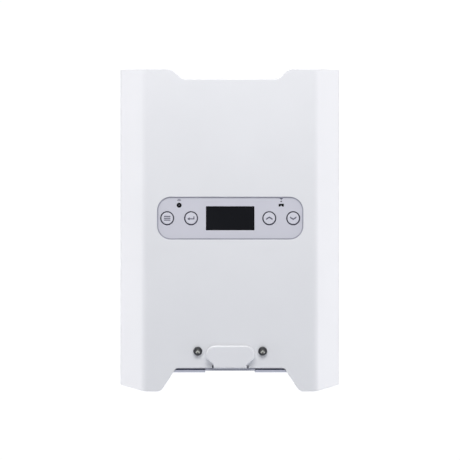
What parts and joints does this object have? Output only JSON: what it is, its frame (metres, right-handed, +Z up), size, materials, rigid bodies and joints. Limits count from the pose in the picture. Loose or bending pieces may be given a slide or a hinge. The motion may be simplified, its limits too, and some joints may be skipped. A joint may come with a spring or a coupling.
{
  "type": "wall battery unit",
  "caption": "Wall-mounted lithium battery unit in a chamfered steel case, with display, push buttons, a hinged service-port flap and a hook-on wall rail.",
  "frame": {"origin": "centre of the wall rail's four screw holes, on the wall plane", "axes": "+Z up, +Y into the wall, the front faces -Y, +X to the right of someone who faces the unit"},
  "size_m": [0.246, 0.141, 0.3609],
  "materials": {
    "cover_paint": "white powder coat with fine orange peel",
    "tray_paint": "light grey powder coat",
    "seal_rubber": "black EPDM",
    "bumper_rubber": "moulded black rubber",
    "zinc_steel": "bright zinc plate",
    "rail_zinc": "galvanised sheet",
    "dark_screw": "black-passivated steel",
    "rivet_aluminium": "plain aluminium",
    "panel_gasket": "grey silicone gasket",
    "panel_grey": "silver-grey moulded fascia",
    "button_ring": "dark silicone",
    "button_cap": "light grey moulded cap",
    "display_glass": "smoked polycarbonate window",
    "lcd_frame": "display module",
    "circuit_board": "green solder mask",
    "lamp_black": "black lamp surround",
    "light_pipe": "unlit diffuse light pipe",
    "white_plastic": "white component body",
    "flap_plastic": "white moulded flap",
    "hinge_steel": "grey-painted hinge bracket",
    "black_plastic": "black moulded plastic",
    "gilt_contact": "gold-plated contact",
    "cell_can": "aluminium can in blue film",
    "insulator": "fish-paper sheet",
    "plate_aluminium": "milled aluminium",
    "copper": "bare copper",
    "clear_shield": "clear polycarbonate",
    "brass": "turned brass",
    "heat_sink_black": "black-anodised extrusion",
    "terminal_grey": "glass-filled nylon",
    "fuse_ceramic": "ceramic fuse body",
    "cable_jacket": "silicone cable jacket",
    "ribbon_grey": "flat-cable insulation",
    "gland_nylon": "black nylon gland"
  },
  "bodies": {
    "root": {"front_cover": "cover_paint", "rear_tray": "tray_paint", "cover_seals": "seal_rubber", "cover_standoffs": "zinc_steel", "cover_screws": "dark_screw", "wall_rail": "rail_zinc", "hanger_rail": "rail_zinc", "hanger_rivets": "rivet_aluminium", "rear_bumpers": "bumper_rubber", "panel_seal": "panel_gasket", "control_panel": "panel_grey", "button_mats": "button_ring", "key_switches": "black_plastic", "display_window": "display_glass", "lcd_module": "lcd_frame", "control_board": "circuit_board", "lamp_bezels": "lamp_black", "light_pipes": "light_pipe", "lamp_diodes": "white_plastic", "hinge_bracket": "hinge_steel", "hinge_pin": "dark_screw", "data_socket": "black_plastic", "socket_contacts": "gilt_contact", "port_board": "circuit_board", "cell_1": "cell_can", "cell_2": "cell_can", "cell_3": "cell_can", "cell_4": "cell_can", "cell_5": "cell_can", "cell_6": "cell_can", "cell_7": "cell_can", "cell_8": "cell_can", "cell_spacers": "insulator", "end_plates": "plate_aluminium", "pack_straps": "zinc_steel", "bus_links": "copper", "terminal_nuts": "zinc_steel", "pack_shield": "clear_shield", "pack_brackets": "rail_zinc", "bms_board": "circuit_board", "board_spacers": "brass", "board_screws": "zinc_steel", "power_transistors": "black_plastic", "heat_sink": "heat_sink_black", "terminal_block": "terminal_grey", "power_studs": "brass", "strip_fuse": "fuse_ceramic", "cable_lugs": "zinc_steel", "power_cables": "cable_jacket", "signal_cables": "ribbon_grey", "gland_bodies": "gland_nylon", "gland_nuts": "gland_nylon", "gland_domes": "gland_nylon", "gland_seals": "seal_rubber", "earth_stud": "brass"},
    "menu_button": {"menu_button": "button_cap"},
    "enter_button": {"enter_button": "button_cap"},
    "up_button": {"up_button": "button_cap"},
    "down_button": {"down_button": "button_cap"},
    "flap": {"port_flap": "flap_plastic"}
  },
  "joints": [
    {"name": "menu_press", "type": "slide", "parent": "root", "child": "menu_button", "axis": [0, 1, 0], "range_m": [0, 0.0008], "stiffness_N_per_m": 900, "springref_m": -0.0004},
    {"name": "enter_press", "type": "slide", "parent": "root", "child": "enter_button", "axis": [0, 1, 0], "range_m": [0, 0.0008], "stiffness_N_per_m": 900, "springref_m": -0.0004},
    {"name": "up_press", "type": "slide", "parent": "root", "child": "up_button", "axis": [0, 1, 0], "range_m": [0, 0.0008], "stiffness_N_per_m": 900, "springref_m": -0.0004},
    {"name": "down_press", "type": "slide", "parent": "root", "child": "down_button", "axis": [0, 1, 0], "range_m": [0, 0.0008], "stiffness_N_per_m": 900, "springref_m": -0.0004},
    {"name": "flap_hinge", "type": "hinge", "parent": "root", "child": "flap", "pos_m": [0, -0.1391, -0.234], "axis": [1, 0, 0], "range_deg": [0, 140]}
  ]
}
